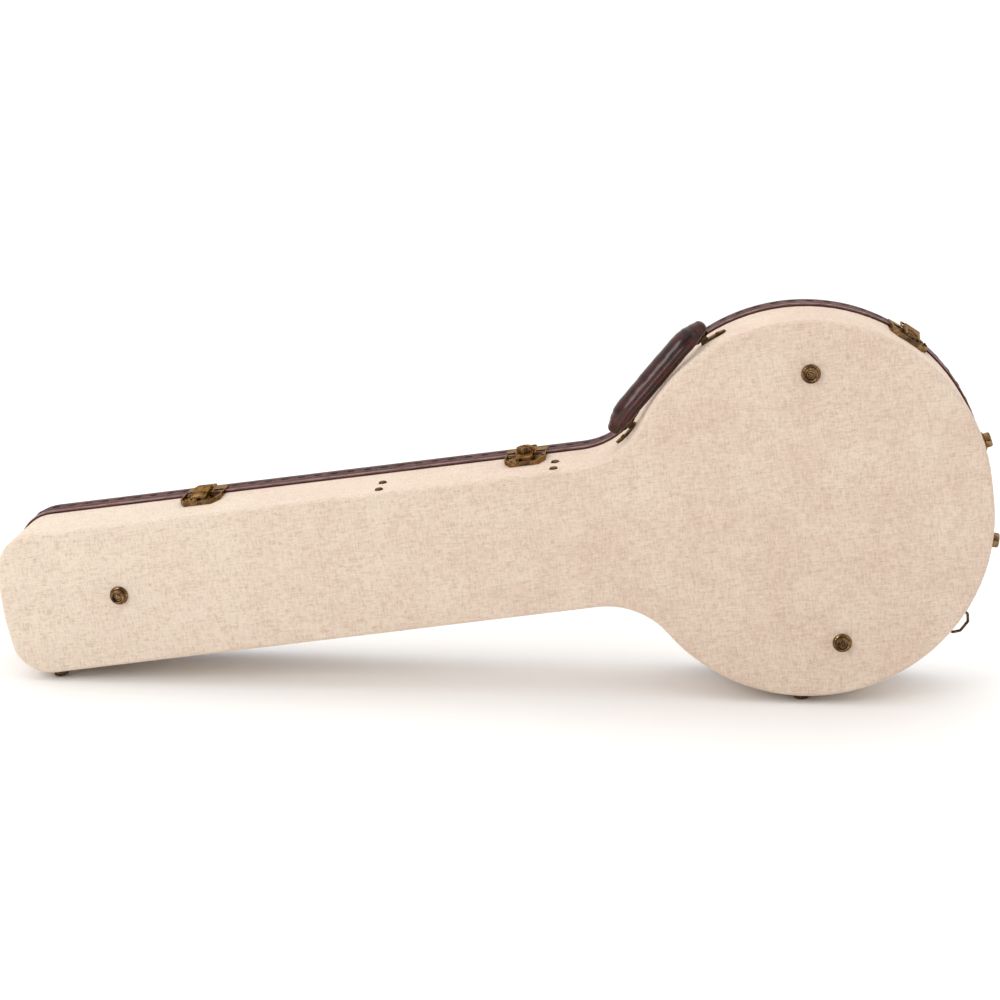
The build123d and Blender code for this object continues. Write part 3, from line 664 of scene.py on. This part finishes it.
def grip_size(share):
    """Size of the grip's section along it: full in the middle, drawn in before its rounded ends."""
    far = abs(share)
    taper = 1 - 0.34 * min(max(0.0, (far - 0.66) / 0.26), 1.0) ** 1.5
    end = max(0.0, (far - 0.93) / 0.07)
    return taper * sqrt(max(1 - end**2, 0.04)) * (1 - 0.03 * far)


def handle_grip():
    """Padded grip: fuller in the middle, with a sewn ridge, creases at the bends and rounded ends."""
    rows = 121
    sides = 56
    step = 0.01
    sideways = Vector((0, 1, 0))
    vertices = []
    for i in range(rows):
        share = sin((2 * i / (rows - 1) - 1) * pi / 2)
        middle = grip_point(share)
        ahead = grip_point(min(share + step, 1.0)) - grip_point(max(share - step, -1.0))
        up = sideways.cross(ahead.normalized()) * -1
        size = grip_size(share)
        fade = 1 - max(0.0, (abs(share) - 0.86) / 0.14)
        crease = CREASE_DEPTH * sin(share * 52) * max(0.0, 1 - abs(abs(share) - 0.74) / 0.14)
        for j in range(sides):
            turn = 2 * pi * j / sides
            apart = abs(((turn - RIDGE_TURN + pi) % (2 * pi)) - pi)
            ridge = RIDGE_PROUD * max(0.0, 1 - apart / 0.1)
            valley = VALLEY_DEPTH * max(0.0, 1 - abs(apart - 0.22) / 0.13)
            spot = Vector((share * 9, cos(turn) * 1.3, sin(turn) * 1.3))
            lump = 0.3 * noise.noise(spot) + 0.12 * noise.noise(spot * 3.1)
            proud = (ridge - valley + crease + lump) * fade
            wide = (GRIP_HALF_W * size + proud) * cos(turn)
            thick = (GRIP_HALF_T * size + proud) * sin(turn)
            vertices.append(middle + sideways * wide + up * thick)
    piece = make_piece("grip", vertices, tube_faces(rows, sides), place=handle_place())
    dress(piece, "handle_leather", "handle", "handle_grip")


# ---------------------------------------------------------------- inside
def base_lining():
    """Plush on the wall of the base, rounded over at the top."""
    thick = 1.6
    rounded = half_round(WALL_IN - thick / 2, LINING_TOP_Y - 0.4, thick / 2, 0, 180)
    profile = [(WALL_IN, FLOOR_Y), (WALL_IN, LINING_TOP_Y), *rounded, (WALL_IN - thick, FLOOR_Y)]
    piece = swept("base_plush_wall", outline_stations(LINING_STEP), profile)
    dress(piece, "plush", "case_base", "base_wall_lining")


def lid_lining():
    """Plush wall and softly crowned plush panel in the lid."""
    low, high = LID_WALL_Y
    loops = [(-6.1, low + 0.2), (-6.3, low), (-6.8, low), (-6.8, high)]
    for share in (0.0, 0.15, 0.3, 0.45, 0.6, 0.75, 0.9, 1.0):
        loops.append((-7.2 - 30 * share, high + 0.6 - 3.2 * sin(share * pi / 2) ** 0.8))
    piece = crowned_panel("lid_plush", outline_stations(LINING_STEP), loops, LID_INSIDE_Y)
    dress(piece, "plush", "lid", "lid_lining")


def floor_pad():
    """Plush pad on the back panel, rolled down at its edge."""
    edge, edge_y = -8.0, 10.6
    loops = [(edge, FLOOR_Y + 0.8), (edge, edge_y)]
    for share in (0.12, 0.3, 0.5, 0.7, 0.85, 1.0):
        loops.append((edge - 28 * share**1.6, edge_y + 3.2 * sin(share * pi / 2)))
    piece = crowned_panel("plush_floor", outline_stations(LINING_STEP), loops, FLOOR_Y)
    dress(piece, "plush", "case_base", "base_floor_pad")


PAD_VOXEL = 0.004               # metres, like the next
PAD_SHRINK = 0.001              # taken off before the pad is blown up
CLOTH_FRAMES = 20
CLOTH_PRESSURE = 4.0


def swell(node, name, cap):
    """Plush pad in place of a CAD solid: remeshed, blown up by cloth simulation, and smoothed."""
    source = frame["nodes"][node]
    piece = source.copy()
    piece.data = source.data.copy()
    piece.name = name
    piece.data.name = name
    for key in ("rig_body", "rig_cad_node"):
        if key in piece:
            del piece[key]
    piece.parent = None
    piece.modifiers.clear()
    bpy.context.scene.collection.objects.link(piece)
    apply_modifier(piece, "WELD", merge_threshold=WELD_GAP)
    apply_modifier(piece, "REMESH", mode="VOXEL", voxel_size=PAD_VOXEL, use_smooth_shade=True)
    apply_modifier(piece, "DISPLACE", strength=-PAD_SHRINK, mid_level=0.0)
    inflate(piece, cap)
    apply_modifier(piece, "SMOOTH", factor=0.5, iterations=3)
    apply_modifier(piece, "SUBSURF", levels=1)
    piece.data.polygons.foreach_set("use_smooth", [True] * len(piece.data.polygons))
    dress(piece, "plush", "case_base", node)


def apply_modifier(piece, kind, **settings):
    """Adds a modifier and applies it."""
    modifier = piece.modifiers.new(kind.lower(), kind)
    for key, value in settings.items():
        setattr(modifier, key, value)
    bake(piece)


def bake(piece):
    """Keeps the mesh that the modifiers give, and removes them."""
    depsgraph = bpy.context.evaluated_depsgraph_get()
    mesh = bpy.data.meshes.new_from_object(piece.evaluated_get(depsgraph))
    piece.modifiers.clear()
    piece.data = mesh


def inflate(piece, cap):
    """Some frames of cloth under pressure, with each point's move capped, in metres."""
    scene = bpy.context.scene
    before = [v.co.copy() for v in piece.data.vertices]
    cloth = piece.modifiers.new("cloth", "CLOTH")
    cloth.settings.use_pressure = True
    cloth.settings.uniform_pressure_force = CLOTH_PRESSURE
    cloth.settings.effector_weights.gravity = 0
    cloth.point_cache.frame_start = 1
    cloth.point_cache.frame_end = CLOTH_FRAMES
    for number in range(1, CLOTH_FRAMES + 1):
        scene.frame_set(number)
    bake(piece)
    scene.frame_set(1)
    for vertex, start in zip(piece.data.vertices, before):
        move = vertex.co - start
        if move.length > cap:
            vertex.co = start + move.normalized() * cap


TAB_WIDTH = 18.0
TAB_LENGTH = 30.0
TAB_ACROSS = (-0.5, -0.46, 0.0, 0.46, 0.5)      # shares of the width
TAB_BOW = 0.55


def pull_tab():
    """Ribbon tab: a strip with thinner edges, bowed up in its middle."""
    low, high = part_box("pull_tab")
    middle = CASE.inverted() @ ((low + high) / 2)
    rows = 25
    vertices = []
    for i in range(rows):
        share = i / (rows - 1)
        y = middle[1] - 0.35 + TAB_BOW * sin(share * pi) ** 2
        z = middle[2] + TAB_LENGTH * (0.5 - share)
        for side in TAB_ACROSS:
            top = 0.15 if abs(side) == 0.5 else 0.5
            vertices.append(Vector((middle[0] + side * TAB_WIDTH, y + top, z)))
        for side in reversed(TAB_ACROSS):
            vertices.append(Vector((middle[0] + side * TAB_WIDTH, y - 0.2, z)))
    piece = make_piece("ribbon_tab", vertices, tube_faces(rows, 2 * len(TAB_ACROSS)))
    dress(piece, "ribbon", "accessory_box_lid", "pull_tab")


# ---------------------------------------------------------------- stage, in metres
FLOOR_HALF = 60.0
WHITE = (1.0, 1.0, 1.0)
COOL = (0.88, 0.96, 1.0)
SKY_LEVEL = 0.58
SKY_RISE = 0.78                 # more overhead, less below
SKY_BACK = 0.55                 # more behind the case, less in front
SKY_LEAST = 0.1
# name, place, point aimed at, width, height, watts, colour
LIGHTS = (
    ("front", (-1.8, -2.5, 1.6), (0.1, 0.0, 0.25), 1.1, 1.7, 36, WHITE),
    ("top", (0.4, 0.9, 2.6), (0.1, 0.0, 0.2), 1.4, 1.4, 4, COOL),
    ("side", (2.8, -1.6, 1.6), (0.3, 0.0, 0.2), 1.0, 1.0, 5, WHITE),
)
EYE = Vector((0.2016, -2.4352, 0.8010))
EYE_RIGHT = Vector((0.99672, 0.0808, 0.00499))
EYE_UP = Vector((-0.02401, 0.2368, 0.97129))
LENS_MM = 82.8
SENSOR_MM = 36.0
FAR_CLIP = 60.0


def stage():
    """Wide pale floor."""
    half = FLOOR_HALF
    corners = [(-half, -half, 0.0), (half, -half, 0.0), (half, half, 0.0), (-half, half, 0.0)]
    floor = make_piece("floor", corners, [(0, 1, 2, 3)], place=Matrix.Identity(4))
    look = Look("pale_floor", 0.9, Specular_IOR_Level=0.0)
    patches = look.window(look.noise(0.8, 3.0), 0.3, 0.7)
    tone = look.mix(patches, rgb(249, 249, 248), rgb(252, 252, 251))
    floor.data.materials.append(look.finish(tone))


def area_light(name, place, target, width, height, power, colour):
    """Soft light aimed at a point."""
    data = bpy.data.lights.new(name, "AREA")
    data.shape = "RECTANGLE"
    data.size = width
    data.size_y = height
    data.energy = power
    data.color = colour
    light = bpy.data.objects.new(name, data)
    light.location = place
    light.rotation_euler = (Vector(target) - Vector(place)).to_track_quat("-Z", "Y").to_euler()
    bpy.context.scene.collection.objects.link(light)


def studio():
    """Pale surroundings, brighter overhead and behind than in front, and three soft lights."""
    world = bpy.data.worlds.new("studio")
    bpy.context.scene.world = world
    world.use_nodes = True
    tree = world.node_tree
    coords = tree.nodes.new("ShaderNodeTexCoord")
    axes = tree.nodes.new("ShaderNodeSeparateXYZ")
    tree.links.new(coords.outputs["Generated"], axes.inputs["Vector"])
    total = None
    for axis, weight in (("Z", SKY_RISE), ("Y", SKY_BACK)):
        part = tree.nodes.new("ShaderNodeMath")
        part.operation = "MULTIPLY_ADD"
        tree.links.new(axes.outputs[axis], part.inputs[0])
        part.inputs[1].default_value = weight
        if total is None:
            part.inputs[2].default_value = SKY_LEVEL
        else:
            tree.links.new(total, part.inputs[2])
        total = part.outputs["Value"]
    least = tree.nodes.new("ShaderNodeMath")
    least.operation = "MAXIMUM"
    tree.links.new(total, least.inputs[0])
    least.inputs[1].default_value = SKY_LEAST
    background = tree.nodes["Background"]
    tree.links.new(least.outputs["Value"], background.inputs["Strength"])
    background.inputs["Color"].default_value = (*WHITE, 1.0)
    for light in LIGHTS:
        area_light(*light)
    bpy.context.scene.view_settings.view_transform = "Standard"


def camera():
    """Camera above the case and right of its middle, looking at the back panel."""
    data = bpy.data.cameras.new("camera")
    data.lens = LENS_MM
    data.sensor_width = SENSOR_MM
    data.clip_end = FAR_CLIP
    eye = bpy.data.objects.new("camera", data)
    back = EYE_RIGHT.cross(EYE_UP).normalized()
    up = back.cross(EYE_RIGHT).normalized()
    turn = Matrix((EYE_RIGHT.normalized(), up, back)).transposed().to_4x4()
    eye.matrix_world = Matrix.Translation(EYE) @ turn
    bpy.context.scene.collection.objects.link(eye)
    bpy.context.scene.camera = eye


camera()
dress_frame()
lid_band()
band_stitches()
lid_welt()
handle_grip()
base_lining()
lid_lining()
floor_pad()
swell("body_rim_pad", "well_pad", 0.003)
swell("neck_cradle", "neck_rest", 0.004)
swell("heel_block", "heel_rest", 0.004)
pull_tab()
stage()
studio()
